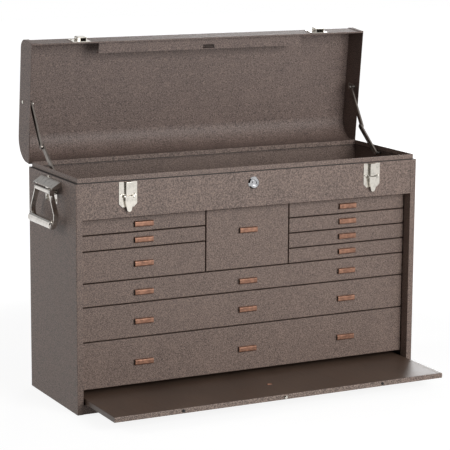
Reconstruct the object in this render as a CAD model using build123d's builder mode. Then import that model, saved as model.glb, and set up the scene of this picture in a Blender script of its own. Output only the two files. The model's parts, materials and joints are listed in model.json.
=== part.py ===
from build123d import *
import math
import os

# Machinist tool chest, all sizes in millimetres.
# The origin is the middle of the bottom, +X is right as seen from the front, +Y back, +Z up.
# It is drawn as it stands in use: lid open on its stays, drawers shut, front panel stored.

# Case
case_width = 679.0
case_depth = 216.0
body_height = 403.5          # floor to the step that the lid closes on
lid_height = 53.5            # step to the top of the closed lid
sheet = 1.2                  # case and lid sheet
jamb_width = 11.0            # front flange of each side panel
recess_depth = 21.0          # how far the drawer fronts lie behind the jambs
rim_inset = 4.4              # how far the rim inside the lid's skirt is set in
rim_height = 9.0
till_height = 63.5           # lower edge of the till's front to the step
till_face_inset = 0.4        # the jambs stand this far proud of the till's front
toe_rail_height = 17.0
toe_rail_inset = 1.0
bend_radius = 1.6            # outside radius of the visible bends
weld_flange = 8.0            # turned edges by which inner sheets are spot welded
seam = 0.2                   # gap where two sheets butt in sight

# Drawers: the lines are the middles of the gaps between the fronts
top_line_drop = 3.0          # top line below the till's front
small_pitch = 28.0           # height of a shallow drawer with its gap
upper_wide_pitch = 42.0
middle_wide_pitch = 62.0
bottom_line = 36.0           # below the deepest drawer, which takes the height that is left
column_x = 83.7              # the two partitions stand here, left and right of the middle
front_gap = 2.0              # between neighbouring fronts
pan_depth = 9.0              # depth of the turned edges behind a drawer's front
tray_sheet = 1.0
tray_inset = 5.0             # tray wall behind the end of the front
tray_lift = 2.5              # underside of the tray above the lower edge of the front
tray_drop = 4.0              # top of the tray below the upper edge of the front
tray_rear_gap = 6.8          # tray to the back panel
running_gap = 0.3            # air between parts that slide on each other
runner_bearing = 6.0         # how far a runner reaches under the tray
runner_height = 9.0
partition_setback = 11.0     # front edge of the partitions and the shelf behind the drawer fronts

# Drawer pulls
pull_width = 35.0
pull_height = 10.0
pull_depth = 5.0
pull_wall = 1.2
pull_side_x = 205.0          # pulls left and right of the middle
centre_pull_lift = 14.0      # pull above the middle of the deep centre drawer
wide_pull_lift = -2.0

# Front panel, stored under the bottom drawer with its outer face up
panel_side_gap = 2.7         # air between the panel and each jamb
panel_length = 325.0
panel_thickness = 9.0
panel_top = 28.0
panel_reach = 125.4          # how far it stands out of the case
panel_stud_radius = 3.0
panel_stud_length = 3.6
bumper_x = 198.0
bumper_radius = 2.6
bumper_length = 1.8
panel_fitting_height = 4.6   # studs and bumpers below the panel's top

# Lid, hinged along the top of the back
lid_open_angle = 84.0
lid_gap = 0.3                # closed skirt above the step
lid_front_radius = 16.0
lid_back_radius = 40.0
cap_wall = 1.0               # the end caps' flange lies outside the lid sheet
cap_flange = 8.0
hem_height = 8.0
hinge_behind = 3.3           # hinge axis behind the back
hinge_above = 2.0            # hinge axis above the step
knuckle_radius = 3.0
hinge_pin_radius = 1.2
pin_clearance = 0.05
hinge_leaf = 1.0
hinge_leaf_height = 20.0
knuckle_count = 13
knuckle_pitch = 50.0
knuckle_gap = 0.5

# Strike channel inside the lid's front wall
channel_half_length = 206.9
channel_rise = 10.8          # its face above the step when the lid is closed
channel_depth = 22.3
channel_lip = 9.0
channel_flange = 15.0
strike_x = 13.3
strike_length = 23.6
strike_width = 7.0
strike_y = 18.5              # middle of the strike slot behind the case's front

# Lid stays: pivots are measured from the hinge axis, with the lid closed
stay_lid_forward = 107.9
stay_lid_up = 16.6
stay_case_forward = 97.3
stay_case_down = 6.5
stay_elbow_share = 0.46      # place of the elbow along the line between the open pivots
stay_elbow_drop = 13.2       # elbow below that line
stay_width = 9.0
stay_web = 1.2
stay_flange = 3.0
stay_gap = 0.4               # between the two links, side by side
stay_inset = 9.4             # outer link's face to the inside of the side panel
stay_pin_radius = 2.3
stay_head_radius = 2.9       # fits inside a link's channel
stay_head = 1.2
stay_case_boss_radius = 3.0  # small enough to stay below the step
stay_lid_head_radius = 3.6
stay_bracket_length = 16.6   # lid pivot to the bracket's rivet

# Draw latches
latch_x = 243.5
latch_width = 34.0
latch_drop = 1.5             # top of the latch plate below the step
latch_height = 44.0
latch_corner = 6.0
latch_plate_wall = 1.0
latch_pivot_drop = 25.0      # lever pivot below the top of the plate
latch_pivot_proud = 3.4      # lever pivot in front of the plate
latch_pin_radius = 1.2
latch_ear_wall = 1.2
latch_ear_half = 9.0
latch_ear_radius = 3.0
lever_half_width = 7.2
lever_tip_half = 4.6
lever_shoulder = 8.0         # pivot to where the lever begins to taper
lever_length = 22.0          # pivot to the middle of the thumb tab
lever_wall = 1.2
lever_depth = 4.8            # front of the lever to the back of its flanges
lever_behind = 2.2           # back of the flanges behind the pivot
lever_top = 0.8              # skin above the pivot; more would foul the claw
lever_hub_radius = 2.6
lever_tab_radius = 4.4
claw_half_width = 5.5
claw_wall = 1.2
claw_foot = 3.1              # lower edge of the claw's raised part above the pivot
claw_proud = 5.2             # front of the raised channel in front of the plate
claw_head = 3.0
claw_hook = 1.0              # head standing out in front of the channel
claw_tail_half = 4.0
claw_tail_wall = 1.0
claw_tail_proud = 0.8
claw_tail_drop = 10.0        # tail's end below the pivot
keeper_height = 28.0
keeper_lift = 1.5            # keeper above the skirt's edge
keeper_plate_wall = 1.0
keeper_pocket_half = 9.0
keeper_pocket_height = 15.0
keeper_pocket_proud = 8.0
keeper_wall = 1.2
keeper_rounding = 2.0

# Lock
lock_drop = 20.5             # lock's middle below the step
lock_bezel_radius = 11.0
lock_bezel = 3.0
lock_bezel_slope = 2.2
lock_barrel_radius = 9.5
lock_barrel_length = 16.3
lock_hole_clearance = 0.2
lock_nut_radius = 13.0
lock_nut = 4.0
lock_plug_radius = 7.5
lock_plug_recess = 0.4
keyway_outer = 5.2
keyway_inner = 3.4
keyway_depth = 3.0
keyway_notch = 1.6
cam_hub_radius = 8.5
cam_wall = 2.4
cam_arm_left = 3.0           # the arm in the locked position, right of the lock's middle
cam_arm_width = 7.0
cam_reach = 37.5
cam_nose_left = 5.0
cam_nose_thickness = 4.1

# Side handles
handle_pivot_drop = 19.5     # pivot below the top of the handle's plate
handle_pivot_proud = 14.5
handle_plate_width = 87.0
handle_plate_drop = 4.5      # top of the plate below the step
handle_plate_height = 42.0
handle_back_width = 54.0
handle_wall = 1.2
hood_reach = 17.5
hood_drop = 11.0
hood_cheek_height = 13.5     # the cheeks stay above the raised bail
handle_barrel_radius = 4.5
handle_barrel_width = 64.0
handle_pin_radius = 2.6
bail_strap = 8.6             # width of the bail's strap, across the side panel
bail_wall = 2.4
bail_eye_half = 33.2         # inner face of the bail's eyes
bail_neck_drop = 5.0         # straight part below the eye
bail_bow_half = 51.6         # inner face of the bail at its widest place
bail_bow_start = 36.0        # widest place below the pivot, from here
bail_bow_end = 44.0          # to here
bail_foot_half = 46.6
bail_bend_radius = 8.0
bail_drop = 54.5             # pivot to the middle of the grip
bail_eye_radius = 4.6
bail_foot_radius = 5.5
grip_radius = 8.0
grip_wall = 1.4
grip_lap = 0.6               # the grip's ends are let into the bail's feet
grip_offset = 4.5            # grip further out than the pivot

half_width = case_width / 2
half_depth = case_depth / 2
front_y = -half_depth
back_y = half_depth
inner_x = half_width - sheet
jamb_x = half_width - jamb_width
panel_width = 2 * (jamb_x - panel_side_gap)
till_bottom = body_height - till_height
rim_top = body_height + rim_height
till_face_y = front_y + till_face_inset
drawer_face_y = front_y + recess_depth
inner_back_y = back_y - sheet
rim_inner = rim_inset + sheet
structure_front_y = drawer_face_y + partition_setback
top_line = till_bottom - top_line_drop
shelf_z = top_line - 4 * small_pitch
latch_top = body_height - latch_drop
lock_z = body_height - lock_drop
handle_plate_top = body_height - handle_plate_drop
handle_pivot_z = handle_plate_top - handle_pivot_drop
near = 0.01

hinge_y = back_y + hinge_behind
hinge_z = body_height + hinge_above
skirt_z = body_height + lid_gap
lid_top = body_height + lid_height - cap_wall
lid_cos = math.cos(math.radians(lid_open_angle))
lid_sin = math.sin(math.radians(lid_open_angle))
lid_back = Vector(0, lid_cos, -lid_sin)
lid_up = Vector(0, lid_sin, lid_cos)


def front_plane(y):
    """Upright plane that faces the front at a given depth."""
    return Plane.XZ.offset(-y)


def side_plane(x):
    """Upright plane that faces right at a given x."""
    return Plane.YZ.offset(x)


def level(z):
    """Flat plane that faces up at a given height."""
    return Plane.XY.offset(z)


def lid_point(x, y, z):
    """Where a point of the closed lid is when the lid stands open."""
    return Vector(x, hinge_y, hinge_z) + lid_back * (y - hinge_y) + lid_up * (z - hinge_z)


def lid_side_plane(x):
    """Plane across the open lid; its axes are the closed lid's y and z."""
    return Plane(origin=lid_point(x, 0, 0), x_dir=lid_back, z_dir=(1, 0, 0))


def lid_front_plane(y):
    """Plane along the open lid's front wall; its axes are x and the closed lid's z."""
    return Plane(origin=lid_point(0, y, 0), x_dir=(1, 0, 0), z_dir=-lid_back)


def lid_level(z):
    """Plane across the open lid's mouth; its axes are x and the closed lid's y."""
    return Plane(origin=lid_point(0, 0, z), x_dir=(1, 0, 0), z_dir=lid_up)


def slab(plane, low, high, thickness, mode=Mode.ADD):
    """A rectangle from its low to its high corner on a plane, raised off the plane."""
    with BuildSketch(plane) as face:
        with Locations(((low[0] + high[0]) / 2, (low[1] + high[1]) / 2)):
            Rectangle(high[0] - low[0], high[1] - low[1])
    extrude(face.sketch, amount=thickness, mode=mode)


def bent_sheet(plane, line, wall, side, length):
    """A sheet bent along a line, its metal on one side of the line, raised off the plane."""
    with BuildSketch(plane) as section:
        with BuildLine():
            Polyline(*line)
            offset(amount=wall, side=side, kind=Kind.INTERSECTION)
        make_face()
    extrude(section.sketch, amount=length)


def edges_at(builder, direction, *places):
    """The edges along one axis that lie at given places on other axes."""
    found = builder.edges().filter_by(direction)
    for axis, value in places:
        found = found.filter_by_position(axis, value - near, value + near)
    return found


def save(builder, name):
    """Labels a finished piece and writes it to its own file."""
    builder.part.label = name
    export_step(builder.part, f"parts/{name}.step")


# Case sheets

def make_side_panel():
    """Right side: wall, front jamb with its return, step and rim from one sheet."""
    with BuildPart() as panel:
        bent_sheet(
            level(0),
            [
                (half_width, back_y),
                (half_width, front_y),
                (jamb_x, front_y),
                (jamb_x, drawer_face_y),
            ],
            sheet, Side.RIGHT, body_height,
        )
        slab(
            level(till_bottom),
            (jamb_x, front_y + sheet), (jamb_x + sheet, drawer_face_y),
            body_height - till_bottom, Mode.SUBTRACT,
        )
        bent_sheet(
            front_plane(back_y - rim_inner),
            [
                (inner_x, body_height),
                (half_width - rim_inset, body_height),
                (half_width - rim_inset, rim_top),
            ],
            sheet, Side.LEFT, case_depth - 2 * rim_inner,
        )
        slab(
            level(body_height),
            (jamb_x, front_y + sheet), (inner_x, front_y + rim_inner),
            -sheet,
        )
        corner = edges_at(panel, Axis.Z, (Axis.X, half_width), (Axis.Y, front_y))
        step = edges_at(panel, Axis.Y, (Axis.X, half_width), (Axis.Z, body_height))
        jamb_top = edges_at(panel, Axis.X, (Axis.Y, front_y), (Axis.Z, body_height))
        fillet(corner + step + jamb_top, radius=bend_radius - sheet / 2)
    return panel


def make_back_panel():
    """Back sheet with its step and rim, standing between the side panels."""
    with BuildPart() as panel:
        bent_sheet(
            side_plane(-inner_x),
            [
                (back_y, 0),
                (back_y, body_height),
                (back_y - rim_inset, body_height),
                (back_y - rim_inset, rim_top),
            ],
            sheet, Side.LEFT, 2 * inner_x,
        )
        for end in (-1, 1):
            inside = end * (half_width - rim_inset)
            outside = end * half_width
            slab(
                level(body_height),
                (min(inside, outside), back_y - rim_inner), (max(inside, outside), back_y),
                rim_height, Mode.SUBTRACT,
            )
    return panel


def make_bottom_pan():
    """Bottom sheet with upturned edges; its front edge is the toe rail."""
    flange_x = inner_x - sheet
    rail_y = front_y + toe_rail_inset
    with BuildPart() as pan:
        slab(level(0), (-inner_x, drawer_face_y), (inner_x, inner_back_y), sheet)
        slab(level(0), (-jamb_x + seam, rail_y), (jamb_x - seam, drawer_face_y), sheet)
        slab(
            level(0),
            (-jamb_x + seam, rail_y), (jamb_x - seam, rail_y + sheet),
            toe_rail_height,
        )
        slab(level(0), (-flange_x, inner_back_y - sheet), (flange_x, inner_back_y), weld_flange)
        for end in (-1, 1):
            outer = end * inner_x
            inner = end * flange_x
            slab(
                level(0),
                (min(outer, inner), drawer_face_y + sheet), (max(outer, inner), inner_back_y),
                weld_flange,
            )
        rail_top = edges_at(pan, Axis.X, (Axis.Y, rail_y), (Axis.Z, toe_rail_height))
        fillet(rail_top, radius=sheet / 2)
    return pan


def make_till_front():
    """Front of the till: face, step and rim above, shelf flange below, lock hole."""
    inside_y = till_face_y + sheet
    face_x = jamb_x - seam
    with BuildPart() as front:
        bent_sheet(
            side_plane(-face_x),
            [
                (drawer_face_y, till_bottom),
                (till_face_y, till_bottom),
                (till_face_y, body_height),
                (front_y + rim_inset, body_height),
                (front_y + rim_inset, rim_top),
            ],
            sheet, Side.RIGHT, 2 * face_x,
        )
        slab(
            level(body_height),
            (rim_inset - half_width, front_y + rim_inset),
            (half_width - rim_inset, front_y + rim_inner),
            rim_height,
        )
        slab(level(till_bottom), (-inner_x, inside_y), (inner_x, drawer_face_y), sheet)
        bottom_edge = edges_at(front, Axis.X, (Axis.Y, till_face_y), (Axis.Z, till_bottom))
        top_edge = edges_at(front, Axis.X, (Axis.Y, till_face_y), (Axis.Z, body_height))
        rim_edge = edges_at(front, Axis.X, (Axis.Y, front_y + rim_inset), (Axis.Z, rim_top))
        fillet(bottom_edge + top_edge + rim_edge, radius=sheet / 2)
        with Locations(front_plane(till_face_y)):
            with Locations((0, lock_z)):
                Hole(lock_barrel_radius + lock_hole_clearance, depth=2 * sheet)
        with Locations(level(till_bottom + sheet)):
            with Locations((0, (inside_y + drawer_face_y) / 2)):
                Hole(panel_stud_radius + 1, depth=2 * sheet)
    return front


def make_till_floor():
    """Floor of the till, with its edges turned down along the side panels."""
    top = till_bottom + 2 * sheet
    with BuildPart() as floor:
        slab(level(top), (-inner_x, till_face_y + sheet), (inner_x, inner_back_y), -sheet)
        for end in (-1, 1):
            outer = end * inner_x
            inner = end * (inner_x - sheet)
            slab(
                level(top),
                (min(outer, inner), structure_front_y), (max(outer, inner), inner_back_y),
                -sheet - weld_flange,
            )
    return floor


def make_column_shelf():
    """Shelf between the three columns and the wide drawers."""
    with BuildPart() as shelf:
        slab(
            level(shelf_z - sheet / 2),
            (-inner_x, structure_front_y), (inner_x, inner_back_y),
            sheet,
        )
        for end in (-1, 1):
            outer = end * inner_x
            inner = end * (inner_x - sheet)
            slab(
                level(shelf_z - sheet / 2),
                (min(outer, inner), structure_front_y), (max(outer, inner), inner_back_y),
                -weld_flange,
            )
    return shelf


def make_column_partitions():
    """The two upright sheets between the drawer columns, with turned edges."""
    bottom = shelf_z + sheet / 2
    top = till_bottom + sheet
    with BuildPart() as partitions:
        bent_sheet(
            front_plane(inner_back_y),
            [
                (column_x - weld_flange, bottom),
                (column_x + sheet / 2, bottom),
                (column_x + sheet / 2, top),
                (column_x - weld_flange, top),
            ],
            sheet, Side.LEFT, inner_back_y - structure_front_y,
        )
        mirror(about=Plane.YZ)
    return partitions


# Drawers

def drawer_bays():
    """Name, x and z limits, pull places and pull lift of every drawer, between the lines."""
    second = top_line - small_pitch
    third = second - small_pitch
    fourth = third - small_pitch
    middle = shelf_z - upper_wide_pitch
    lower = middle - middle_wide_pitch
    left = (-jamb_x, -column_x)
    right = (column_x, jamb_x)
    wide = (-jamb_x, jamb_x)
    side_pull = [pull_side_x]
    wide_pulls = [-pull_side_x, 0, pull_side_x]
    return [
        ("left_top", left, (second, top_line), [-pull_side_x], 0),
        ("left_middle", left, (third, second), [-pull_side_x], 0),
        ("left_bottom", left, (shelf_z, third), [-pull_side_x], 0),
        ("centre", (-column_x, column_x), (shelf_z, top_line), [0], centre_pull_lift),
        ("right_first", right, (second, top_line), side_pull, 0),
        ("right_second", right, (third, second), side_pull, 0),
        ("right_third", right, (fourth, third), side_pull, 0),
        ("right_fourth", right, (shelf_z, fourth), side_pull, 0),
        ("wide_upper", wide, (middle, shelf_z), wide_pulls, wide_pull_lift),
        ("wide_middle", wide, (lower, middle), wide_pulls, wide_pull_lift),
        ("wide_lower", wide, (bottom_line, lower), wide_pulls, wide_pull_lift),
    ]


def carrying_face(bound):
    """The face of the side panel or partition that carries a runner beside a bay."""
    if abs(bound) > column_x:
        return math.copysign(inner_x, bound)
    return None


def make_runners(bays):
    """Angle runners under both sides of every tray, and under the stored front panel."""
    with BuildPart() as runners:
        for _, (x_low, x_high), (z_low, _), _, _ in bays:
            underside = z_low + front_gap / 2 + tray_lift - running_gap - sheet
            reach = front_gap / 2 + tray_inset + runner_bearing
            for bound, inward in ((x_low, 1), (x_high, -1)):
                face = carrying_face(bound)
                if face is None:
                    face = bound + inward * sheet / 2
                add_runner(face, bound + inward * reach, underside)
        rail_end = panel_width / 2 - runner_bearing
        underside = panel_top - panel_thickness - running_gap - sheet
        for end in (-1, 1):
            add_runner(end * inner_x, end * rail_end, underside)
    return runners


def add_runner(face, leg_end, underside):
    """One angle runner: its upright leg on the carrying face, its flat leg below the tray."""
    side = Side.RIGHT if leg_end < face else Side.LEFT
    bent_sheet(
        front_plane(inner_back_y),
        [(face, underside + runner_height), (face, underside), (leg_end, underside)],
        sheet, side, inner_back_y - structure_front_y,
    )


def make_drawer(x_limits, z_limits):
    """A drawer: a front pan with turned edges, and the open tray behind it."""
    x_low = x_limits[0] + front_gap / 2
    x_high = x_limits[1] - front_gap / 2
    z_low = z_limits[0] + front_gap / 2
    z_high = z_limits[1] - front_gap / 2
    pan_back_y = drawer_face_y + pan_depth
    skin_y = drawer_face_y + sheet
    tray_back_y = inner_back_y - tray_rear_gap
    tray_low = z_low + tray_lift
    tray_high = z_high - tray_drop
    with BuildPart() as drawer:
        slab(front_plane(pan_back_y), (x_low, z_low), (x_high, z_high), pan_depth)
        face_edges = drawer.faces().sort_by(Axis.Y)[0].edges()
        fillet(face_edges, radius=sheet)
        slab(
            front_plane(pan_back_y),
            (x_low + sheet, z_low + sheet), (x_high - sheet, z_high - sheet),
            pan_depth - sheet, Mode.SUBTRACT,
        )
        slab(
            level(tray_low),
            (x_low + tray_inset, skin_y), (x_high - tray_inset, tray_back_y),
            tray_high - tray_low,
        )
        slab(
            level(tray_low + tray_sheet),
            (x_low + tray_inset + tray_sheet, skin_y),
            (x_high - tray_inset - tray_sheet, tray_back_y - tray_sheet),
            tray_high - tray_low - tray_sheet, Mode.SUBTRACT,
        )
    return drawer


def make_pulls(z_middle, x_places):
    """Channel shaped finger pulls on a drawer's front, open at both ends."""
    half = pull_height / 2
    with BuildPart() as pulls:
        for x in x_places:
            with BuildSketch(side_plane(x - pull_width / 2)):
                with BuildLine():
                    FilletPolyline(
                        (drawer_face_y, z_middle + half),
                        (drawer_face_y - pull_depth, z_middle + half),
                        (drawer_face_y - pull_depth, z_middle - half),
                        (drawer_face_y, z_middle - half),
                        radius=2 * pull_wall,
                    )
                    offset(amount=pull_wall, side=Side.LEFT)
                make_face()
            extrude(amount=pull_width)
    return pulls


# Front panel

def make_front_panel():
    """Loose front panel: a shallow pan, lying in its slot with the edges turned down."""
    front_edge_y = front_y - panel_reach
    half = panel_width / 2
    with BuildPart() as panel:
        slab(
            level(panel_top),
            (-half, front_edge_y), (half, front_edge_y + panel_length),
            -panel_thickness,
        )
        rounded = panel.faces().sort_by(Axis.Z)[-1].edges()
        fillet(rounded, radius=bend_radius)
        slab(
            level(panel_top - sheet),
            (sheet - half, front_edge_y + sheet),
            (half - sheet, front_edge_y + panel_length - sheet),
            sheet - panel_thickness, Mode.SUBTRACT,
        )
    return panel


def make_panel_stud():
    """Catch stud in the middle of the front panel's turned edge, with a waist."""
    edge_y = front_y - panel_reach
    tip = panel_stud_length
    waist = panel_stud_radius - 1
    with BuildPart() as stud:
        with BuildSketch(Plane(origin=(0, edge_y, panel_top - panel_fitting_height),
                               x_dir=(1, 0, 0), z_dir=(0, 0, 1))):
            with BuildLine():
                Polyline(
                    (0, 0),
                    (panel_stud_radius, 0),
                    (panel_stud_radius, -tip / 4),
                    (waist, -tip / 4),
                    (waist, -tip / 2),
                    (panel_stud_radius, -tip / 2),
                    (panel_stud_radius, -tip * 3 / 4),
                    (waist, -tip),
                    (0, -tip),
                    close=True,
                )
            make_face()
        revolve(axis=Axis((0, edge_y, panel_top - panel_fitting_height), (0, 1, 0)))
    return stud


def make_panel_bumpers():
    """Two rubber bumpers on the front panel's turned edge."""
    with BuildPart() as bumpers:
        with BuildSketch(front_plane(front_y - panel_reach)):
            with Locations(*[(end * bumper_x, panel_top - panel_fitting_height) for end in (-1, 1)]):
                Circle(bumper_radius)
        extrude(amount=bumper_length)
        tips = bumpers.faces().sort_by(Axis.Y)[:2].edges()
        chamfer(tips, length=bumper_length / 2)
    return bumpers


# Lid

def lid_outline(grow):
    """The lid's bent line in its own side view, grown outwards by a wall."""
    FilletPolyline(
        (front_y - grow, skirt_z),
        (front_y - grow, lid_top + grow),
        (back_y + grow, lid_top + grow),
        (back_y + grow, skirt_z),
        radius=[lid_front_radius + grow, lid_back_radius + grow],
    )


def make_lid_shell():
    """Front wall, top and back wall of the lid from one rolled sheet, edges hemmed."""
    with BuildPart() as shell:
        with BuildSketch(lid_side_plane(-inner_x)):
            with BuildLine():
                lid_outline(0)
                offset(amount=sheet, side=Side.RIGHT)
            make_face()
        extrude(amount=2 * inner_x)
        for wall_y in (front_y + sheet, back_y - 2 * sheet):
            slab(
                lid_side_plane(-inner_x),
                (wall_y, skirt_z), (wall_y + sheet, skirt_z + hem_height),
                2 * inner_x,
            )
    return shell


def make_lid_end():
    """Right end cap: the end wall, and a flange that laps over the lid sheet."""
    with BuildPart() as cap:
        with BuildSketch(lid_side_plane(inner_x)):
            with BuildLine():
                lid_outline(cap_wall)
                Line((back_y + cap_wall, skirt_z), (front_y - cap_wall, skirt_z))
            make_face()
        extrude(amount=sheet)
        with BuildSketch(lid_side_plane(inner_x - cap_flange)):
            with BuildLine():
                lid_outline(0)
                offset(amount=cap_wall, side=Side.LEFT)
            make_face()
        extrude(amount=cap_flange)
        rounded = cap.faces().sort_by(Axis.X)[-1].edges()
        fillet(rounded, radius=cap_wall)
    return cap


def make_strike_channel():
    """Channel behind the lid's front wall; the lock's cam comes up through its slot."""
    face_z = body_height + channel_rise
    wall_y = front_y + sheet
    with BuildPart() as channel:
        bent_sheet(
            lid_side_plane(-channel_half_length),
            [
                (wall_y, face_z + channel_flange),
                (wall_y, face_z),
                (wall_y + channel_depth, face_z),
                (wall_y + channel_depth, face_z + channel_lip),
            ],
            sheet, Side.LEFT, 2 * channel_half_length,
        )
        with BuildSketch(lid_level(face_z)):
            with Locations((strike_x, front_y + strike_y)):
                RectangleRounded(strike_length, strike_width, 2)
        extrude(amount=sheet, mode=Mode.SUBTRACT)
    return channel


# Piano hinge

def knuckle_spans(first):
    """Ends of every second knuckle along x, from the first one or the one beside it."""
    start = -knuckle_count * knuckle_pitch / 2
    return [
        (start + i * knuckle_pitch + knuckle_gap / 2, start + (i + 1) * knuckle_pitch - knuckle_gap / 2)
        for i in range(first, knuckle_count, 2)
    ]


def add_knuckles(plane_at, first, leaf_sign):
    """Knuckles round the hinge axis, each with the tab that joins it to its leaf."""
    for x_low, x_high in knuckle_spans(first):
        slab(
            plane_at(x_low),
            (back_y + running_gap, min(hinge_z, hinge_z + leaf_sign * 2 * knuckle_radius)),
            (back_y + hinge_leaf, max(hinge_z, hinge_z + leaf_sign * 2 * knuckle_radius)),
            x_high - x_low,
        )
        with BuildSketch(plane_at(x_low)) as knuckle:
            with Locations((hinge_y, hinge_z)):
                Circle(knuckle_radius)
        extrude(knuckle.sketch, amount=x_high - x_low)
        with BuildSketch(plane_at(x_low)) as bore:
            with Locations((hinge_y, hinge_z)):
                Circle(hinge_pin_radius + pin_clearance)
        extrude(bore.sketch, amount=x_high - x_low, mode=Mode.SUBTRACT)


def make_hinge_leaf(plane_at, first, leaf_sign):
    """One leaf of the piano hinge, lying on the outside of the back."""
    half_length = knuckle_count * knuckle_pitch / 2
    near_edge = hinge_z + leaf_sign * (knuckle_radius + running_gap)
    far_edge = near_edge + leaf_sign * hinge_leaf_height
    with BuildPart() as leaf:
        slab(
            plane_at(-half_length),
            (back_y, min(near_edge, far_edge)), (back_y + hinge_leaf, max(near_edge, far_edge)),
            2 * half_length,
        )
        add_knuckles(plane_at, first, leaf_sign)
    return leaf


def make_hinge_pin():
    """The pin that runs through all the knuckles."""
    half_length = knuckle_count * knuckle_pitch / 2
    with BuildPart() as pin:
        with BuildSketch(side_plane(-half_length)):
            with Locations((hinge_y, hinge_z)):
                Circle(hinge_pin_radius)
        extrude(amount=2 * half_length)
    return pin


# Lid stays

def stay_points():
    """Case pivot, elbow and lid pivot of the open stay, as y and z."""
    lid_pivot = lid_point(0, hinge_y - stay_lid_forward, hinge_z + stay_lid_up)
    case_pivot = Vector(0, hinge_y - stay_case_forward, hinge_z - stay_case_down)
    along = lid_pivot - case_pivot
    across = Vector(0, along.Z, -along.Y).normalized()
    elbow = case_pivot + along * stay_elbow_share + across * stay_elbow_drop
    return tuple((point.Y, point.Z) for point in (case_pivot, elbow, lid_pivot))


def add_link(x, direction, start, end):
    """A pressed channel link between two pivots, its web on the plane at x."""
    length = math.dist(start, end)
    turn = math.degrees(math.atan2(end[1] - start[1], end[0] - start[0]))
    middle = ((start[0] + end[0]) / 2, (start[1] + end[1]) / 2)
    with BuildSketch(side_plane(x)) as outline:
        with Locations(middle):
            SlotCenterToCenter(length, stay_width, rotation=turn)
    extrude(outline.sketch, amount=direction * stay_flange)
    with BuildSketch(side_plane(x + direction * stay_web)) as hollow:
        with Locations(middle):
            SlotCenterToCenter(length, stay_width - 2 * stay_web, rotation=turn)
    extrude(hollow.sketch, amount=direction * (stay_flange - stay_web), mode=Mode.SUBTRACT)


def add_stud(x_low, x_high, point, radius, mode=Mode.ADD):
    """A round stud along x, or the hole for one."""
    with BuildSketch(side_plane(x_low)) as round_face:
        with Locations(point):
            Circle(radius)
    extrude(round_face.sketch, amount=x_high - x_low, mode=mode)


def make_upper_link():
    """Right stay's upper link, beside the end cap; its open side faces outwards."""
    _, elbow, lid_pivot = stay_points()
    face_x = inner_x - stay_inset
    web_x = face_x + stay_web
    with BuildPart() as link:
        add_link(face_x, 1, elbow, lid_pivot)
        add_stud(face_x, web_x, lid_pivot, stay_pin_radius + pin_clearance, Mode.SUBTRACT)
        add_stud(web_x, web_x + stay_head, elbow, stay_head_radius)
    return link


def make_lower_link():
    """Right stay's lower link, with the elbow rivet; its open side faces inwards."""
    case_pivot, elbow, _ = stay_points()
    face_x = inner_x - stay_inset - stay_gap
    web_x = face_x - stay_web
    with BuildPart() as link:
        add_link(face_x, -1, case_pivot, elbow)
        add_stud(web_x, face_x, case_pivot, stay_pin_radius + pin_clearance, Mode.SUBTRACT)
        add_stud(web_x - stay_head, web_x, elbow, stay_head_radius)
    return link


def make_case_stud():
    """Stud on the right side panel that carries the stay's lower link."""
    case_pivot, _, _ = stay_points()
    boss_x = inner_x - stay_inset - stay_gap + running_gap
    head_x = inner_x - stay_inset - stay_gap - stay_web - running_gap
    with BuildPart() as stud:
        add_stud(boss_x, inner_x, case_pivot, stay_case_boss_radius)
        add_stud(head_x, boss_x, case_pivot, stay_pin_radius)
        add_stud(head_x - stay_head, head_x, case_pivot, stay_head_radius)
    return stud


def make_lid_bracket():
    """Bracket on the right end cap that carries the stay's upper link."""
    plate_x = inner_x - stay_web
    boss_x = inner_x - stay_inset + stay_web + running_gap
    head_x = inner_x - stay_inset - running_gap
    pivot_y = hinge_y - stay_lid_forward
    pivot_z = hinge_z + stay_lid_up
    _, _, open_pivot = stay_points()
    with BuildPart() as bracket:
        with BuildSketch(lid_side_plane(plate_x)):
            with Locations((pivot_y, pivot_z + stay_bracket_length / 2)):
                SlotCenterToCenter(stay_bracket_length, stay_width, rotation=90)
        extrude(amount=stay_web)
        with BuildSketch(lid_side_plane(plate_x)):
            with Locations((pivot_y, pivot_z + stay_bracket_length)):
                Circle(stay_head_radius)
        extrude(amount=-stay_head)
        add_stud(boss_x, plate_x, open_pivot, stay_head_radius)
        add_stud(head_x, boss_x, open_pivot, stay_pin_radius)
        add_stud(head_x - stay_head, head_x, open_pivot, stay_lid_head_radius)
    return bracket


# Draw latches

def make_latch_plates():
    """Two latch plates on the till's front, each with two ears and the lever's pin."""
    half = latch_width / 2
    bottom = latch_top - latch_height
    plate_y = till_face_y - latch_plate_wall
    pivot_y = plate_y - latch_pivot_proud
    pivot_z = latch_top - latch_pivot_drop
    with BuildPart() as plates:
        for centre in (-latch_x, latch_x):
            with BuildSketch(front_plane(till_face_y)):
                Polygon(
                    (centre - half, latch_top),
                    (centre - half, bottom + latch_corner),
                    (centre - half + latch_corner, bottom),
                    (centre + half - latch_corner, bottom),
                    (centre + half, bottom + latch_corner),
                    (centre + half, latch_top),
                    align=None,
                )
            extrude(amount=latch_plate_wall)
            for ear_x in (centre - latch_ear_half, centre + latch_ear_half - latch_ear_wall):
                slab(
                    side_plane(ear_x),
                    (pivot_y, pivot_z - latch_ear_radius), (plate_y, pivot_z + latch_ear_radius),
                    latch_ear_wall,
                )
                add_stud(ear_x, ear_x + latch_ear_wall, (pivot_y, pivot_z), latch_ear_radius)
            add_stud(centre - latch_ear_half, centre + latch_ear_half, (pivot_y, pivot_z),
                     latch_pin_radius)
    return plates


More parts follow.
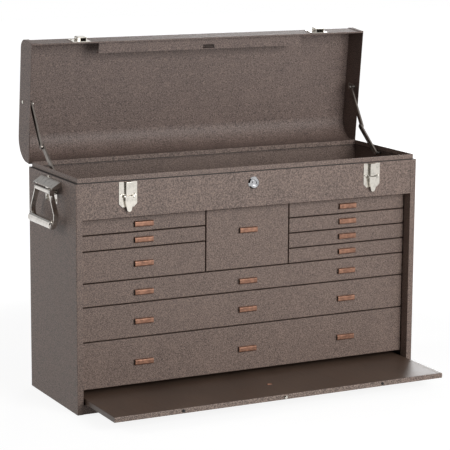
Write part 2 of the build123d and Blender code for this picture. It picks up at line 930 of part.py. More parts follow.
def lever_outline(centre, pivot_z, top, shrink):
    """Tapering front view of a latch lever, or of the hollow inside it."""
    Polygon(
        (centre - lever_half_width + shrink, pivot_z + top),
        (centre - lever_half_width + shrink, pivot_z - lever_shoulder),
        (centre - lever_tip_half + shrink, pivot_z - lever_length + shrink),
        (centre + lever_tip_half - shrink, pivot_z - lever_length + shrink),
        (centre + lever_half_width - shrink, pivot_z - lever_shoulder),
        (centre + lever_half_width - shrink, pivot_z + top),
        align=None,
    )


def make_latch_lever(centre):
    """A latch's lever: a tapering channel on the plate's pin, with a thumb tab."""
    pivot_y = till_face_y - latch_plate_wall - latch_pivot_proud
    pivot_z = latch_top - latch_pivot_drop
    back = pivot_y + lever_behind
    skin_y = back - lever_depth + lever_wall
    outer = lever_half_width
    inner = lever_half_width - lever_wall
    with BuildPart() as lever:
        with BuildSketch(front_plane(back)):
            lever_outline(centre, pivot_z, lever_top, 0)
        extrude(amount=lever_depth)
        with BuildSketch(front_plane(back)):
            lever_outline(centre, pivot_z, 2 * lever_wall, lever_wall)
        extrude(amount=lever_depth - lever_wall, mode=Mode.SUBTRACT)
        with BuildSketch(front_plane(skin_y)):
            with Locations((centre, pivot_z - lever_length)):
                Circle(lever_tab_radius)
        extrude(amount=lever_wall)
        for x_low, x_high in ((centre - outer, centre - inner), (centre + inner, centre + outer)):
            add_stud(x_low, x_high, (pivot_y, pivot_z), lever_hub_radius)
        add_stud(centre - outer, centre + outer, (pivot_y, pivot_z),
                 latch_pin_radius + pin_clearance, Mode.SUBTRACT)
    return lever


def make_latch_claw(centre):
    """A latch's claw: a raised channel above the lever, and its tail down behind the lever."""
    plate_y = till_face_y - latch_plate_wall
    pivot_z = latch_top - latch_pivot_drop
    tail_y = plate_y - claw_tail_proud
    face_y = plate_y - claw_proud
    foot = pivot_z + claw_foot
    half = claw_half_width
    with BuildPart() as claw:
        slab(
            front_plane(tail_y),
            (centre - claw_tail_half, pivot_z - claw_tail_drop),
            (centre + claw_tail_half, foot + claw_wall),
            claw_tail_wall,
        )
        bent_sheet(
            level(foot),
            [
                (centre - half, tail_y),
                (centre - half, face_y),
                (centre + half, face_y),
                (centre + half, tail_y),
            ],
            claw_wall, Side.LEFT, latch_top - foot,
        )
        slab(
            level(foot),
            (centre - half, face_y), (centre + half, tail_y),
            claw_wall,
        )
        slab(
            level(latch_top - claw_head),
            (centre - half, face_y - claw_hook), (centre + half, tail_y),
            claw_head,
        )
        head_edges = edges_at(claw, Axis.X, (Axis.Z, latch_top))
        fillet(head_edges, radius=claw_wall / 2)
    return claw


def make_latch_keepers():
    """Two keepers on the lid's front, each with a pocket that a claw hooks into from below."""
    plate_y = front_y - keeper_plate_wall
    low = skirt_z + keeper_lift
    outwards = Axis((0, 0, 0), tuple(-lid_back))
    upwards = Axis((0, 0, 0), tuple(lid_up))
    half = keeper_pocket_half
    with BuildPart() as keepers:
        for centre in (-latch_x, latch_x):
            slab(
                lid_front_plane(front_y),
                (centre - latch_width / 2, low), (centre + latch_width / 2, low + keeper_height),
                keeper_plate_wall,
            )
            slab(
                lid_front_plane(plate_y),
                (centre - half, low), (centre + half, low + keeper_pocket_height),
                keeper_pocket_proud,
            )
        fronts = keepers.faces().sort_by(outwards)[-2:]
        fillet(fronts.edges().sort_by(upwards)[2:], radius=keeper_rounding)
        for centre in (-latch_x, latch_x):
            slab(
                lid_front_plane(plate_y),
                (centre - half + keeper_wall, low),
                (centre + half - keeper_wall, low + keeper_pocket_height - keeper_wall),
                keeper_pocket_proud - keeper_wall, Mode.SUBTRACT,
            )
    return keepers


# Lock

def make_lock_body():
    """Lock housing in the till's front: bezel outside, threaded barrel and nut inside."""
    inside_y = till_face_y + sheet
    with BuildPart() as body:
        with BuildSketch(front_plane(till_face_y)):
            with Locations((0, lock_z)):
                Circle(lock_bezel_radius)
        extrude(amount=lock_bezel)
        chamfer(body.faces().sort_by(Axis.Y)[0].edges(), length=lock_bezel_slope)
        with BuildSketch(front_plane(till_face_y)):
            with Locations((0, lock_z)):
                Circle(lock_barrel_radius)
        extrude(amount=-lock_barrel_length)
        with BuildSketch(front_plane(inside_y)):
            with Locations((0, lock_z)):
                RegularPolygon(lock_nut_radius, 6)
        extrude(amount=-lock_nut)
        with BuildSketch(front_plane(till_face_y - lock_bezel)):
            with Locations((0, lock_z)):
                Circle(lock_plug_radius + pin_clearance)
        extrude(amount=-lock_bezel - lock_barrel_length, mode=Mode.SUBTRACT)
    return body


def make_lock_plug():
    """Turning plug of the lock with a round keyway and its notch."""
    face_y = till_face_y - lock_bezel + lock_plug_recess
    back = till_face_y + lock_barrel_length + running_gap
    with BuildPart() as plug:
        with BuildSketch(front_plane(back)):
            with Locations((0, lock_z)):
                Circle(lock_plug_radius)
        extrude(amount=back - face_y)
        with BuildSketch(front_plane(face_y)):
            with Locations((0, lock_z)):
                Circle(keyway_outer)
                Circle(keyway_inner, mode=Mode.SUBTRACT)
            with Locations((0, lock_z + keyway_outer)):
                Rectangle(keyway_notch, keyway_notch)
        extrude(amount=-keyway_depth, mode=Mode.SUBTRACT)
    return plug


def make_lock_cam():
    """Hooked cam on the plug, unlocked; it is drawn as when locked, on a turned plane."""
    front = till_face_y + lock_barrel_length + running_gap
    turned = Plane(origin=(0, front + cam_wall, lock_z), x_dir=(0, 0, -1), z_dir=(0, -1, 0))
    arm_right = cam_arm_left + cam_arm_width
    with BuildPart() as cam:
        with BuildSketch(turned):
            with Locations((cam_arm_left + cam_arm_width / 2, cam_reach / 2)):
                Rectangle(cam_arm_width, cam_reach)
            with Locations(((arm_right - cam_nose_left) / 2, cam_reach - cam_nose_thickness / 2)):
                Rectangle(arm_right + cam_nose_left, cam_nose_thickness)
            Circle(cam_reach, mode=Mode.INTERSECT)
            Circle(cam_hub_radius)
        extrude(amount=cam_wall)
    return cam


# Side handles

def make_handle_bracket():
    """Right handle's bracket: back plate, sloping hood with cheeks, and the bail's barrel."""
    foot = half_width
    plate_side = handle_back_width / 2
    plate_bottom = handle_plate_top - handle_plate_height
    cheek_bottom = handle_plate_top - hood_cheek_height
    hood_side = handle_plate_width / 2
    pivot_x = half_width + handle_pivot_proud
    hood_bottom = handle_plate_top - hood_drop
    barrel_side = handle_barrel_width / 2
    with BuildPart() as bracket:
        bent_sheet(
            front_plane(hood_side),
            [
                (foot, plate_bottom),
                (foot, handle_plate_top),
                (foot + hood_reach, hood_bottom),
            ],
            handle_wall, Side.RIGHT, handle_plate_width,
        )
        for end in (-1, 1):
            outer = end * (hood_side + 1)
            inner = end * plate_side
            slab(
                side_plane(foot),
                (min(outer, inner), plate_bottom - 1), (max(outer, inner), hood_bottom),
                handle_wall, Mode.SUBTRACT,
            )
        for cheek_y in (hood_side, -hood_side + handle_wall):
            with BuildSketch(front_plane(cheek_y)):
                Polygon(
                    (foot, handle_plate_top),
                    (foot + hood_reach, hood_bottom),
                    (foot + hood_reach, cheek_bottom),
                    (foot + hood_reach / 2, cheek_bottom),
                    (foot, hood_bottom),
                    align=None,
                )
            extrude(amount=handle_wall)
        with BuildSketch(front_plane(barrel_side)):
            with Locations((pivot_x, handle_pivot_z)):
                Circle(handle_barrel_radius)
        extrude(amount=handle_barrel_width)
        slab(
            side_plane(foot),
            (-barrel_side, handle_pivot_z - handle_barrel_radius),
            (barrel_side, handle_pivot_z - handle_barrel_radius + handle_wall),
            handle_pivot_proud,
        )
        with BuildSketch(front_plane(barrel_side)):
            with Locations((pivot_x, handle_pivot_z)):
                Circle(handle_pin_radius + pin_clearance)
        extrude(amount=handle_barrel_width, mode=Mode.SUBTRACT)
    return bracket


def add_rod(y_high, point, radius, length, mode=Mode.ADD):
    """A round rod along y from its rear end, or the bore for one."""
    with BuildSketch(front_plane(y_high)) as round_face:
        with Locations(point):
            Circle(radius)
    extrude(round_face.sketch, amount=length, mode=mode)


def make_bail():
    """Right handle's bail: bowed strap, pivot rod and the hollow grip."""
    pivot_x = half_width + handle_pivot_proud
    pivot = (pivot_x, handle_pivot_z)
    grip = (pivot_x + grip_offset, handle_pivot_z - bail_drop)
    outer_half = bail_eye_half + bail_wall
    foot_outer = bail_foot_half + bail_wall
    grip_half = bail_foot_half + grip_lap
    with BuildPart() as bail:
        with BuildSketch(side_plane(pivot_x - bail_strap / 2)):
            with BuildLine():
                FilletPolyline(
                    (bail_eye_half, handle_pivot_z),
                    (bail_eye_half, handle_pivot_z - bail_neck_drop),
                    (bail_bow_half, handle_pivot_z - bail_bow_start),
                    (bail_bow_half, handle_pivot_z - bail_bow_end),
                    (bail_foot_half, handle_pivot_z - bail_drop),
                    radius=bail_bend_radius,
                )
                offset(amount=bail_wall, side=Side.LEFT)
            make_face()
        extrude(amount=bail_strap)
        add_rod(outer_half, pivot, bail_eye_radius, bail_wall)
        add_rod(foot_outer, grip, bail_foot_radius, bail_wall)
        mirror(about=Plane.XZ)
        add_rod(outer_half, pivot, handle_pin_radius, 2 * outer_half)
        add_rod(grip_half, grip, grip_radius, 2 * grip_half)
        add_rod(bail_foot_half, grip, grip_radius - grip_wall, 2 * bail_foot_half, Mode.SUBTRACT)
        add_rod(foot_outer, grip, handle_pin_radius, 2 * foot_outer)
    return bail


# All pieces

def other_side(builder):
    """The same piece for the other side of the chest."""
    with BuildPart() as other:
        mirror(builder.part, about=Plane.YZ)
    return other


def both_sides(builder):
    """A piece together with its mirror image."""
    with BuildPart() as pair:
        add(builder.part)
        mirror(about=Plane.YZ)
    return pair


os.makedirs("parts", exist_ok=True)

bays = drawer_bays()
for bay_name, x_limits, z_limits, pull_places, pull_lift in bays:
    save(make_drawer(x_limits, z_limits), f"drawer_{bay_name}")
    save(make_pulls(sum(z_limits) / 2 + pull_lift, pull_places), f"pull_{bay_name}")

handed = {
    "side": make_side_panel(),
    "handle_bracket": make_handle_bracket(),
    "bail": make_bail(),
    "stay_upper": make_upper_link(),
    "stay_lower": make_lower_link(),
    "lid_end": make_lid_end(),
}
for piece_name, piece in handed.items():
    save(piece, f"right_{piece_name}")
    save(other_side(piece), f"left_{piece_name}")

for side_name, centre_x in (("left", -latch_x), ("right", latch_x)):
    save(make_latch_lever(centre_x), f"{side_name}_latch_lever")
    save(make_latch_claw(centre_x), f"{side_name}_latch_claw")

save(make_back_panel(), "back_panel")
save(make_bottom_pan(), "bottom_pan")
save(make_till_front(), "till_front")
save(make_till_floor(), "till_floor")
save(make_column_shelf(), "column_shelf")
save(make_column_partitions(), "column_partitions")
save(make_runners(bays), "drawer_runners")
save(make_hinge_leaf(side_plane, 0, -1), "hinge_case_leaf")
save(make_hinge_leaf(lid_side_plane, 1, 1), "hinge_lid_leaf")
save(make_hinge_pin(), "hinge_pin")
save(both_sides(make_case_stud()), "stay_case_pivots")
save(both_sides(make_lid_bracket()), "stay_lid_pivots")
save(make_latch_plates(), "latch_plates")
save(make_latch_keepers(), "latch_keepers")
save(make_lock_body(), "lock_body")
save(make_lock_plug(), "lock_plug")
save(make_lock_cam(), "lock_cam")
save(make_lid_shell(), "lid_shell")
save(make_strike_channel(), "lid_strike_channel")
save(make_front_panel(), "front_panel")
save(make_panel_stud(), "front_panel_stud")
save(make_panel_bumpers(), "front_panel_bumpers")
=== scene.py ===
import json
import math

import bpy
from mathutils import Matrix, Vector


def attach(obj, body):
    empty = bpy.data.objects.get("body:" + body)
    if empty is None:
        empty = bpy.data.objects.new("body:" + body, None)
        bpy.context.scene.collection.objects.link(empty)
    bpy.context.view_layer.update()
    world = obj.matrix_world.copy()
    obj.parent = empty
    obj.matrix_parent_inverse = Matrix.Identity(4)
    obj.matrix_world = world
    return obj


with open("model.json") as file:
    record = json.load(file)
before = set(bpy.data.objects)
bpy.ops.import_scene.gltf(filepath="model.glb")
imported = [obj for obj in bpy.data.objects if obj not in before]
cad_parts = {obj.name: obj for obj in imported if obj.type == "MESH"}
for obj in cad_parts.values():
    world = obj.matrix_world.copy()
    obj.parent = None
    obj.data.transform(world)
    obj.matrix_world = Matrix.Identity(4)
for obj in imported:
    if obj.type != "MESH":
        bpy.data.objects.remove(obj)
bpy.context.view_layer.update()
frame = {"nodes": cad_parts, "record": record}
cad_nodes = frame["nodes"]

# Driving sizes repeated from the chest's drawing, in metres
HALF_WIDTH = 0.3395
HINGE = Vector((0.0, 0.1113, 0.4055))
LID_OPEN = math.radians(84)
STEP_Z = 0.4035            # where the shut lid rests
CREASE_SHADE_Z = STEP_Z + 0.0002   # painted shade: a dark line along the crease under the rim, at the step
CREASE_SHADE_HALF = 0.0004
CREASE_SHADE_FADE = 0.0006
LATCH_X = 0.2435
PLATE_Y = -0.1086          # face of the latch plates
HANDLE_PLATE_X = 0.3407    # face of the handles' back plates
PANEL_EDGE_Y = -0.2331     # face of the front panel's turned edge
PANEL_BEND = 0.0012        # how far back the panel's two finishes run into each other
PANEL_TOP_Z = 0.028

# Rivets, in metres, with the lid's own given for the shut lid
RIVET_RADIUS = 0.0026
RIVET_HEIGHT = 0.0012
RIVET_SUNK = 0.0002        # each head reaches this far into its sheet
LATCH_RIVET_OUT = 0.0130   # either side of the latch's middle
LATCH_RIVET_Z = 0.3805
KEEPER_RIVET_YZ = (-0.109, 0.4265)
HANDLE_RIVET_OUT = 0.0205
HANDLE_RIVET_Z = 0.3625
LID_END_RIVET_YZ = (0.0034, 0.4387)
STAY_RIVET_YZ = (0.014, 0.399)

# Pressed clip on the front panel, in metres
CLIP_MIDDLE = (0.0053, -0.164, PANEL_TOP_Z + 0.0004)
CLIP_SIZE = (0.0095, 0.0040, 0.0014)
CLIP_EDGE = 0.0005
CLIP_BORDER = 0.0006
CLIP_DISH = 0.0005

LID_BACK = Vector((0.0, math.cos(LID_OPEN), -math.sin(LID_OPEN)))
LID_UP = Vector((0.0, math.sin(LID_OPEN), math.cos(LID_OPEN)))


def open_lid_point(x, y, z):
    """Where a point of the shut lid is with the lid open."""
    return Vector((x, HINGE.y, HINGE.z)) + LID_BACK * (y - HINGE.y) + LID_UP * (z - HINGE.z)


# Shader maths

class Value:
    """One number in a node tree; arithmetic on it adds the Math nodes."""

    def __init__(self, nodes, socket):
        self.nodes = nodes
        self.socket = socket

    def math(self, operation, *others):
        inputs = {0: self, **dict(enumerate(others, 1))}
        return self.nodes.value("ShaderNodeMath", {"operation": operation}, inputs)

    def __add__(self, other):
        return self.math("ADD", other)

    __radd__ = __add__

    def __mul__(self, other):
        return self.math("MULTIPLY", other)

    def __sub__(self, other):
        return self.math("SUBTRACT", other)

    def __rsub__(self, other):
        return (self * -1).math("ADD", other)

    def clamp(self):
        return self.nodes.value("ShaderNodeClamp", {}, {"Value": self})

    def above(self, low, high):
        """0 below low, 1 above high, and a smooth step between them."""
        inputs = {"Value": self, "From Min": low, "From Max": high}
        return self.nodes.value("ShaderNodeMapRange", {"interpolation_type": "SMOOTHSTEP"}, inputs)


class Nodes:
    """A node tree, filled node by node."""

    def __init__(self, tree):
        self.tree = tree
        self.tree.nodes.clear()

    def add(self, kind, settings=None, inputs=None):
        """A node of any type: its settings first, then its sockets, linked or set."""
        node = self.tree.nodes.new(kind)
        for key, setting in (settings or {}).items():
            setattr(node, key, setting)
        for key, given in (inputs or {}).items():
            source = given.socket if isinstance(given, Value) else given
            if isinstance(source, bpy.types.NodeSocket):
                self.tree.links.new(source, node.inputs[key])
            else:
                node.inputs[key].default_value = source
        return node

    def value(self, kind, settings=None, inputs=None, output=0):
        return Value(self, self.add(kind, settings, inputs).outputs[output])


class Finish(Nodes):
    """A surface finish: a Principled shader and the nodes that vary it."""

    def __init__(self, name, **constants):
        self.material = bpy.data.materials.new(name)
        self.material.use_nodes = True
        super().__init__(self.material.node_tree)
        self.shader = self.add("ShaderNodeBsdfPrincipled")
        self.add("ShaderNodeOutputMaterial", {}, {"Surface": self.shader.outputs[0]})
        for key, constant in constants.items():
            self.shader.inputs[key.replace("_", " ")].default_value = constant

    def place(self):
        return self.add("ShaderNodeTexCoord").outputs["Object"]

    def along(self, axis):
        """The place along one axis, X, Y or Z."""
        return self.value("ShaderNodeSeparateXYZ", {}, {0: self.place()}, axis)

    def noise(self, scale, detail, roughness, stretch=(1, 1, 1)):
        """Cloudy noise on Object coordinates, drawn out along the axes with a small stretch."""
        placed = self.add("ShaderNodeMapping", {}, {"Vector": self.place(), "Scale": stretch})
        inputs = {
            "Vector": placed.outputs[0], "Scale": scale, "Detail": detail, "Roughness": roughness,
        }
        return self.value("ShaderNodeTexNoise", {}, inputs)

    def drive(self, socket, varying):
        source = varying.socket if isinstance(varying, Value) else varying
        self.tree.links.new(source, self.shader.inputs[socket])

    def mix(self, amount, low, high):
        """A colour between two, each of them written out or from another mix."""
        ends = [(*end, 1) if isinstance(end, tuple) else end for end in (low, high)]
        inputs = {0: amount, 6: ends[0], 7: ends[1]}
        return self.add("ShaderNodeMix", {"data_type": "RGBA"}, inputs).outputs[2]

    def colour(self, amount, low, high):
        self.drive("Base Color", self.mix(amount, low, high))

    def relief(self, height, strength, distance):
        inputs = {"Height": height, "Strength": strength, "Distance": distance}
        self.drive("Normal", self.add("ShaderNodeBump", {}, inputs).outputs[0])


def linear(red, green, blue):
    """A colour as it looks, 0 to 255, to the shader's own scale."""
    levels = (red / 255, green / 255, blue / 255)
    return tuple(v / 12.92 if v <= 0.04045 else ((v + 0.055) / 1.055) ** 2.4 for v in levels)


# Finishes

# Colour of the painted shade line in the crease under the rim
CREASE_SHADE_COLOUR = linear(38, 28, 23)
PANEL_EDGE_COLOURS = (linear(84, 70, 63), linear(160, 141, 130))


def wrinkle_enamel(name, dark, light, gloss, crease_shade_z=None):
    """Baked wrinkle enamel: a pebbled skin with pale crests, and, when a height is given, a painted
    shade line along the crease under the rim at that height.
    """
    finish = Finish(name)
    pebble = finish.noise(600, 2.0, 0.55)
    crease = finish.noise(1250, 2.0, 0.6)
    drift = finish.noise(22, 2.0, 0.5)
    skin = pebble * 0.58 + crease * 0.42
    shade = (skin + (drift - 0.5) * 0.05).above(0.38, 0.62)
    colour = finish.mix(shade, dark, light)
    # Painted shade: a dark line along the crease under the rim, at the given height
    if crease_shade_z:
        from_crease_shade = (finish.along("Z") - crease_shade_z).math("ABSOLUTE")
        out_of_crease_shade = from_crease_shade.above(CREASE_SHADE_HALF, CREASE_SHADE_HALF + CREASE_SHADE_FADE)
        colour = finish.mix(out_of_crease_shade, CREASE_SHADE_COLOUR, colour)
    finish.drive("Base Color", colour)
    finish.drive("Roughness", (gloss + crease * 0.16 + drift * 0.05).clamp())
    finish.relief(skin, 0.45, 0.0006)
    return finish.material


def panel_finish(name, dark, light, gloss):
    """The panel's smooth face in a dark enamel, coloured darker still as painted shade on its
    up-facing top, turning into the case's wrinkle enamel along its front edge.
    """
    finish = Finish(name)
    edge = 1 - finish.along("Y").above(PANEL_EDGE_Y, PANEL_EDGE_Y + PANEL_BEND)
    cloud = finish.noise(16, 3.0, 0.55)
    speck = finish.noise(620, 2.0, 0.5)
    rub = finish.noise(420, 2.0, 0.5, (1, 0.03, 1))
    smooth = (cloud * 0.55 + speck * 0.25 + rub * 0.20).above(0.34, 0.66)
    pebbled = speck.above(0.36, 0.64)
    # Partly painted shade: the face's colours sit darker than the case's
    face = finish.mix(smooth, dark, light)
    rim = finish.mix(pebbled, *PANEL_EDGE_COLOURS)
    finish.drive("Base Color", finish.mix(edge, face, rim))
    worn = rub.above(0.5, 0.8)
    finish.drive("Roughness", (gloss + cloud * 0.12 + worn * 0.08 + edge * 0.1).clamp())
    finish.relief(speck * 0.7 + rub * 0.3, 0.16, 0.0004)
    return finish.material


def plated(name, colour, gloss, scale, stretch=(1, 1, 1), dull=0.10):
    """Plated metal: clear reflections with a fine grain, and patches that have gone dull."""
    finish = Finish(name, Metallic=1.0)
    grain = finish.noise(scale, 2.0, 0.5, stretch)
    patch = finish.noise(110, 3.0, 0.6)
    worn = tuple(level * 0.74 for level in colour)
    finish.colour(patch.above(0.42, 0.72), colour, worn)
    finish.drive("Roughness", (gloss + grain * 0.08 + patch.above(0.48, 0.75) * dull).clamp())
    finish.relief(grain, 0.06, 0.0002)
    return finish.material


def bronze_enamel(name, dark, light, gloss):
    """Brushed metal under bronze lacquer, with the brushing along the pull."""
    finish = Finish(name, Metallic=0.55)
    brushing = finish.noise(1500, 2.0, 0.6, (0.06, 1, 1))
    patch = finish.noise(160, 2.0, 0.5)
    finish.colour((brushing * 0.55 + patch * 0.45).above(0.36, 0.66), dark, light)
    finish.drive("Roughness", (gloss + brushing * 0.14).clamp())
    finish.relief(brushing, 0.10, 0.0002)
    return finish.material


def moulded_rubber(name, dark, light):
    """Moulded rubber with a dry, dusty grain."""
    finish = Finish(name)
    grain = finish.noise(1400, 2.0, 0.5)
    finish.colour(grain.above(0.35, 0.7), dark, light)
    finish.drive("Roughness", (0.58 + grain * 0.2).clamp())
    finish.relief(grain, 0.12, 0.0002)
    return finish.material


# The case's enamel carries the painted shade line in the crease under the rim
case_enamel = wrinkle_enamel(
    "brown wrinkle enamel", linear(64, 50, 44), linear(150, 129, 118), 0.42, CREASE_SHADE_Z,
)
lid_enamel = wrinkle_enamel("lid wrinkle enamel", linear(62, 49, 44), linear(144, 124, 115), 0.44)
drawer_enamel = wrinkle_enamel(
    "drawer wrinkle enamel", linear(64, 50, 44), linear(148, 127, 116), 0.44,
)
inside_enamel = wrinkle_enamel(
    "inside wrinkle enamel", linear(53, 43, 38), linear(114, 99, 91), 0.50,
)
# Painted shade: the hinge's enamel is darkened to stand for the dark gaps along the hinge
hinge_enamel_darkened_as_shade = wrinkle_enamel("hinge enamel darkened as painted shade", linear(30, 24, 21), linear(74, 62, 55), 0.5)
# Partly painted shade: the panel's up-facing top is darker than the case, both its own dark enamel
# and shade painted in
panel_enamel_with_painted_shade = panel_finish("dark smooth enamel and painted shade", linear(78, 62, 52), linear(94, 76, 64), 0.36)
pull_bronze = bronze_enamel(
    "bronze lacquered pulls", linear(108, 75, 59), linear(156, 114, 92), 0.36,
)
bright_nickel = plated("bright nickel plate", linear(206, 201, 192), 0.08, 500)
worn_nickel = plated("nickel plate worn by hands", linear(204, 199, 193), 0.05, 600, dull=0.06)
runner_steel = plated("zinc plated steel", linear(166, 163, 158), 0.28, 1200, (1, 1, 0.1), 0.14)
stay_steel = plated("dark pressed steel", linear(118, 111, 105), 0.27, 900, (1, 0.3, 0.3), 0.16)
lock_chrome = plated("chrome of the lock", linear(178, 178, 180), 0.05, 700, dull=0.04)
bumper_rubber = moulded_rubber("black rubber", linear(7, 7, 7), linear(16, 15, 15))

SLOT_FINISH = {
    "case_paint": case_enamel,
    "drawer_paint": drawer_enamel,
    "inner_paint": inside_enamel,
    "pull_copper": pull_bronze,
    "bright_nickel": bright_nickel,
    "plated_steel": runner_steel,
    "dark_steel": stay_steel,
    "lock_chrome": lock_chrome,
    "bumper_rubber": bumper_rubber,
}

# Nodes whose finish differs from that of their slot
NODE_FINISH = {
    "front_panel": panel_enamel_with_painted_shade,
    "lid_shell": lid_enamel,
    "left_lid_end": lid_enamel,
    "right_lid_end": lid_enamel,
    "lid_strike_channel": lid_enamel,
    # Hinge leaves in darkened enamel and pin in dark steel: painted shade for the dark gaps along
    # the hinge
    "hinge_case_leaf": hinge_enamel_darkened_as_shade,
    "hinge_lid_leaf": hinge_enamel_darkened_as_shade,
    "hinge_pin": stay_steel,
    "lock_body": lock_chrome,
    "left_handle_bracket": worn_nickel,
    "right_handle_bracket": worn_nickel,
    "left_bail": worn_nickel,
    "right_bail": worn_nickel,
}
for row in frame["record"]["subparts"]:
    for slot in cad_nodes[row["node"]].material_slots:
        slot.material = NODE_FINISH.get(row["node"], SLOT_FINISH[row["material_slot"]])


# Pieces added to the drawing's solids

def select_none():
    bpy.ops.object.select_all(action="DESELECT")


def pick_faces_upwards(piece, steepness):
    """In edit mode, selects only the faces whose normal points up more than this."""
    bpy.ops.object.mode_set(mode="OBJECT")
    for group in (piece.data.vertices, piece.data.edges):
        for element in group:
            element.select = False
    for face in piece.data.polygons:
        face.select = face.normal.z > steepness
    bpy.ops.object.mode_set(mode="EDIT")


def round_and_dish(piece, rounding, segments, profile, border, dish):
    """Rounds the top edge of a piece and presses a shallow dish into the top."""
    bpy.ops.object.transform_apply(location=True, rotation=True, scale=True)
    bpy.ops.object.mode_set(mode="EDIT")
    bpy.ops.mesh.select_mode(type="FACE")
    pick_faces_upwards(piece, 0.9)
    bpy.ops.mesh.bevel(offset=rounding, segments=segments, profile=profile, affect="EDGES")
    pick_faces_upwards(piece, 0.99)
    bpy.ops.mesh.inset(thickness=border)
    bpy.ops.transform.translate(value=(0, 0, -dish))
    bpy.ops.object.mode_set(mode="OBJECT")
    bpy.ops.object.shade_smooth_by_angle(angle=math.radians(35))


def model_rivet():
    """One domed rivet head on the origin, with the shallow dimple of the setting tool."""
    select_none()
    bpy.ops.mesh.primitive_cylinder_add(
        vertices=28, radius=RIVET_RADIUS, depth=RIVET_HEIGHT + RIVET_SUNK,
        location=(0, 0, (RIVET_HEIGHT - RIVET_SUNK) / 2),
    )
    rivet = bpy.context.object
    round_and_dish(
        rivet, rounding=RIVET_HEIGHT * 0.8, segments=4, profile=0.6,
        border=RIVET_RADIUS * 0.28, dish=RIVET_HEIGHT * 0.14,
    )
    rivet.data.materials.append(bright_nickel)
    return rivet


def place_rivet(rivet_head, name, foot, outwards, body, size=1.0):
    """A copy of the rivet head, standing on a point of a surface and riding on its body."""
    head = rivet_head.copy()
    head.data = rivet_head.data.copy()
    bpy.context.collection.objects.link(head)
    turn = Vector(outwards).to_track_quat("Z", "Y").to_matrix().to_4x4()
    head.matrix_world = Matrix.Translation(foot) @ turn @ Matrix.Scale(size, 4)
    select_none()
    head.select_set(True)
    bpy.context.view_layer.objects.active = head
    bpy.ops.object.transform_apply(location=True, rotation=True, scale=True)
    head.name = name
    head.data.name = name
    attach(head, body)


def add_panel_clip():
    """The small pressed clip on the front panel's face, behind its catch stud."""
    select_none()
    bpy.ops.mesh.primitive_cube_add(size=1, location=CLIP_MIDDLE)
    clip = bpy.context.object
    clip.scale = CLIP_SIZE
    round_and_dish(
        clip, rounding=CLIP_EDGE, segments=3, profile=0.5, border=CLIP_BORDER, dish=CLIP_DISH,
    )
    clip.name = "front_panel_clip"
    clip.data.name = "front_panel_clip"
    clip.data.materials.append(pull_bronze)
    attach(clip, "front_panel")


def add_rivets():
    """The rivet heads of latches, keepers, handles, lid ends and stays."""
    head = model_rivet()
    for side, sign in (("left", -1), ("right", 1)):
        outwards = (sign, 0, 0)
        for letter, across in (("a", -1), ("b", 1)):
            x = sign * LATCH_X + across * LATCH_RIVET_OUT
            point = (x, PLATE_Y, LATCH_RIVET_Z)
            place_rivet(head, f"{side}_latch_rivet_{letter}", point, (0, -1, 0), "case", 0.9)
            point = open_lid_point(x, *KEEPER_RIVET_YZ)
            place_rivet(head, f"{side}_keeper_rivet_{letter}", point, -LID_BACK, "lid", 0.9)
            point = (sign * HANDLE_PLATE_X, across * HANDLE_RIVET_OUT, HANDLE_RIVET_Z)
            place_rivet(head, f"{side}_handle_rivet_{letter}", point, outwards, "case", 1.1)
        point = open_lid_point(sign * HALF_WIDTH, *LID_END_RIVET_YZ)
        place_rivet(head, f"{side}_lid_end_rivet", point, outwards, "lid", 1.2)
        point = (sign * HALF_WIDTH, *STAY_RIVET_YZ)
        place_rivet(head, f"{side}_stay_rivet", point, outwards, "case")
    bpy.data.objects.remove(head)


add_panel_clip()
add_rivets()


# Studio

CAMERA_PLACE = (-1.538948, -2.984971, 0.922468)
CAMERA_TURN = (0.475751, 0.186591, 0.006492)    # yaw, pitch and roll, in radians
FOCAL_PIXELS = 1871.355
PHOTO_WIDTH = 450
SENSOR_WIDTH = 36.0
LAMP_TARGET = Vector((0, 0, 0.25))
CARD_TARGET = Vector((0, 0, 0.35))
CARD_COLOUR = (0.01, 0.01, 0.01, 1)
WHITE = (1, 1, 1, 1)
FLOOR_SIZE = 16
FLOOR_DROP = 0.0005        # below the chest's underside, so that the two don't flicker
FLOOR_COLOUR = (0.24, 0.24, 0.24, 1)    # the part of the floor that takes shadow
FLOOR_LIFT = 0.87          # how much the floor shines by itself near the chest
FLOOR_FADE = (0.6, 2.0)    # metres from the middle over which it becomes all white
STUDIO_GLOW = 0.17


def shown_rays(nodes):
    """1 for the rays that show the studio to the camera, straight or mirrored in metal."""
    rays = nodes.add("ShaderNodeLightPath")
    camera, glossy, transmission = (
        Value(nodes, rays.outputs[f"Is {kind} Ray"]) for kind in ("Camera", "Glossy", "Transmission")
    )
    return (camera + glossy + transmission).clamp()


def add_floor():
    """Pale floor: it takes the chest's shadow near by and runs into white further out."""
    select_none()
    bpy.ops.mesh.primitive_plane_add(size=FLOOR_SIZE, location=(0, 0, -FLOOR_DROP))
    floor = bpy.context.object
    floor.name = "studio_floor"
    surface = Finish(
        "pale studio floor", Roughness=0.9, Specular_IOR_Level=0.0, Emission_Strength=1.0,
    )
    inputs = {0: surface.place()}
    distance = surface.value("ShaderNodeVectorMath", {"operation": "LENGTH"}, inputs, "Value")
    level = (FLOOR_LIFT + distance.above(*FLOOR_FADE)).clamp()
    surface.shader.inputs["Base Color"].default_value = FLOOR_COLOUR
    surface.drive("Emission Color", level * shown_rays(surface))
    floor.data.materials.append(surface.material)


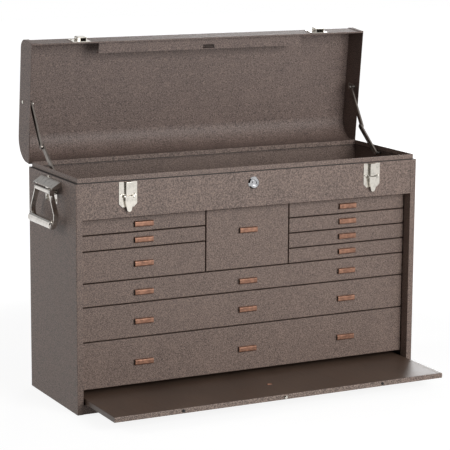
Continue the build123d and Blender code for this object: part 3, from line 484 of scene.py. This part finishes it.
def add_card(name, centre, size, level):
    """A black or grey card that faces the chest and shows only in metal and gloss."""
    select_none()
    bpy.ops.mesh.primitive_plane_add(size=1)
    card = bpy.context.object
    card.name = name
    towards = CARD_TARGET - Vector(centre)
    turn = towards.to_track_quat("Z", "Y").to_matrix().to_4x4()
    card.matrix_world = Matrix.Translation(centre) @ turn @ Matrix.Diagonal((*size, 1, 1))
    card.visible_camera = False
    card.visible_diffuse = False
    card.visible_shadow = False
    surface = Finish(name, Roughness=0.9, Specular_IOR_Level=0.0, Emission_Strength=level)
    surface.shader.inputs["Base Color"].default_value = CARD_COLOUR
    surface.shader.inputs["Emission Color"].default_value = WHITE
    card.data.materials.append(surface.material)


def add_surroundings():
    """White surroundings that the camera and the metal see, and that give only little light."""
    world = bpy.data.worlds.new("white studio")
    bpy.context.scene.world = world
    world.use_nodes = True
    nodes = Nodes(world.node_tree)
    level = STUDIO_GLOW + shown_rays(nodes) * (1 - STUDIO_GLOW)
    sky = nodes.add("ShaderNodeBackground", {}, {"Color": WHITE, "Strength": level})
    nodes.add("ShaderNodeOutputWorld", {}, {"Surface": sky.outputs[0]})


def add_lamp(name, place, size, power):
    """A square soft lamp that faces the chest."""
    data = bpy.data.lights.new(name, "AREA")
    data.shape = "SQUARE"
    data.size = size
    data.energy = power
    lamp = bpy.data.objects.new(name, data)
    bpy.context.collection.objects.link(lamp)
    lamp.location = place
    lamp.rotation_euler = (LAMP_TARGET - Vector(place)).to_track_quat("-Z", "Y").to_euler()


def add_camera():
    """The photograph's viewpoint, worked out from the case's corners."""
    yaw, pitch, roll = CAMERA_TURN
    ahead = Vector((
        math.sin(yaw) * math.cos(pitch), math.cos(yaw) * math.cos(pitch), -math.sin(pitch),
    ))
    level = Vector((math.cos(yaw), -math.sin(yaw), 0))
    upright = level.cross(ahead)
    right = math.cos(roll) * level + math.sin(roll) * upright
    up = math.cos(roll) * upright - math.sin(roll) * level
    turn = Matrix((right, up, -ahead)).transposed().to_4x4()
    data = bpy.data.cameras.new("photo camera")
    data.sensor_width = SENSOR_WIDTH
    data.lens = FOCAL_PIXELS * SENSOR_WIDTH / PHOTO_WIDTH
    data.clip_end = 100
    camera = bpy.data.objects.new("photo camera", data)
    bpy.context.collection.objects.link(camera)
    camera.matrix_world = Matrix.Translation(CAMERA_PLACE) @ turn
    bpy.context.scene.camera = camera


add_floor()
add_surroundings()
add_card("dark_card_in_front", (-1.05, -1.35, 1.05), (2.4, 2.2), 0.01)
add_card("dark_card_at_left", (-2.2, 0.0, 0.9), (0.9, 1.7), 0.01)
add_card("grey_card_at_back", (-0.9, 3.0, 2.3), (3.4, 1.9), 0.40)
add_lamp("front lamp", (0.5, -2.0, 0.9), 1.2, 32)
add_lamp("left rear lamp", (-2.5, 0.9, 1.5), 1.2, 17)
add_lamp("right rear lamp", (1.7, 2.5, 1.0), 1.2, 22)
add_camera()
bpy.context.scene.view_settings.view_transform = "Standard"
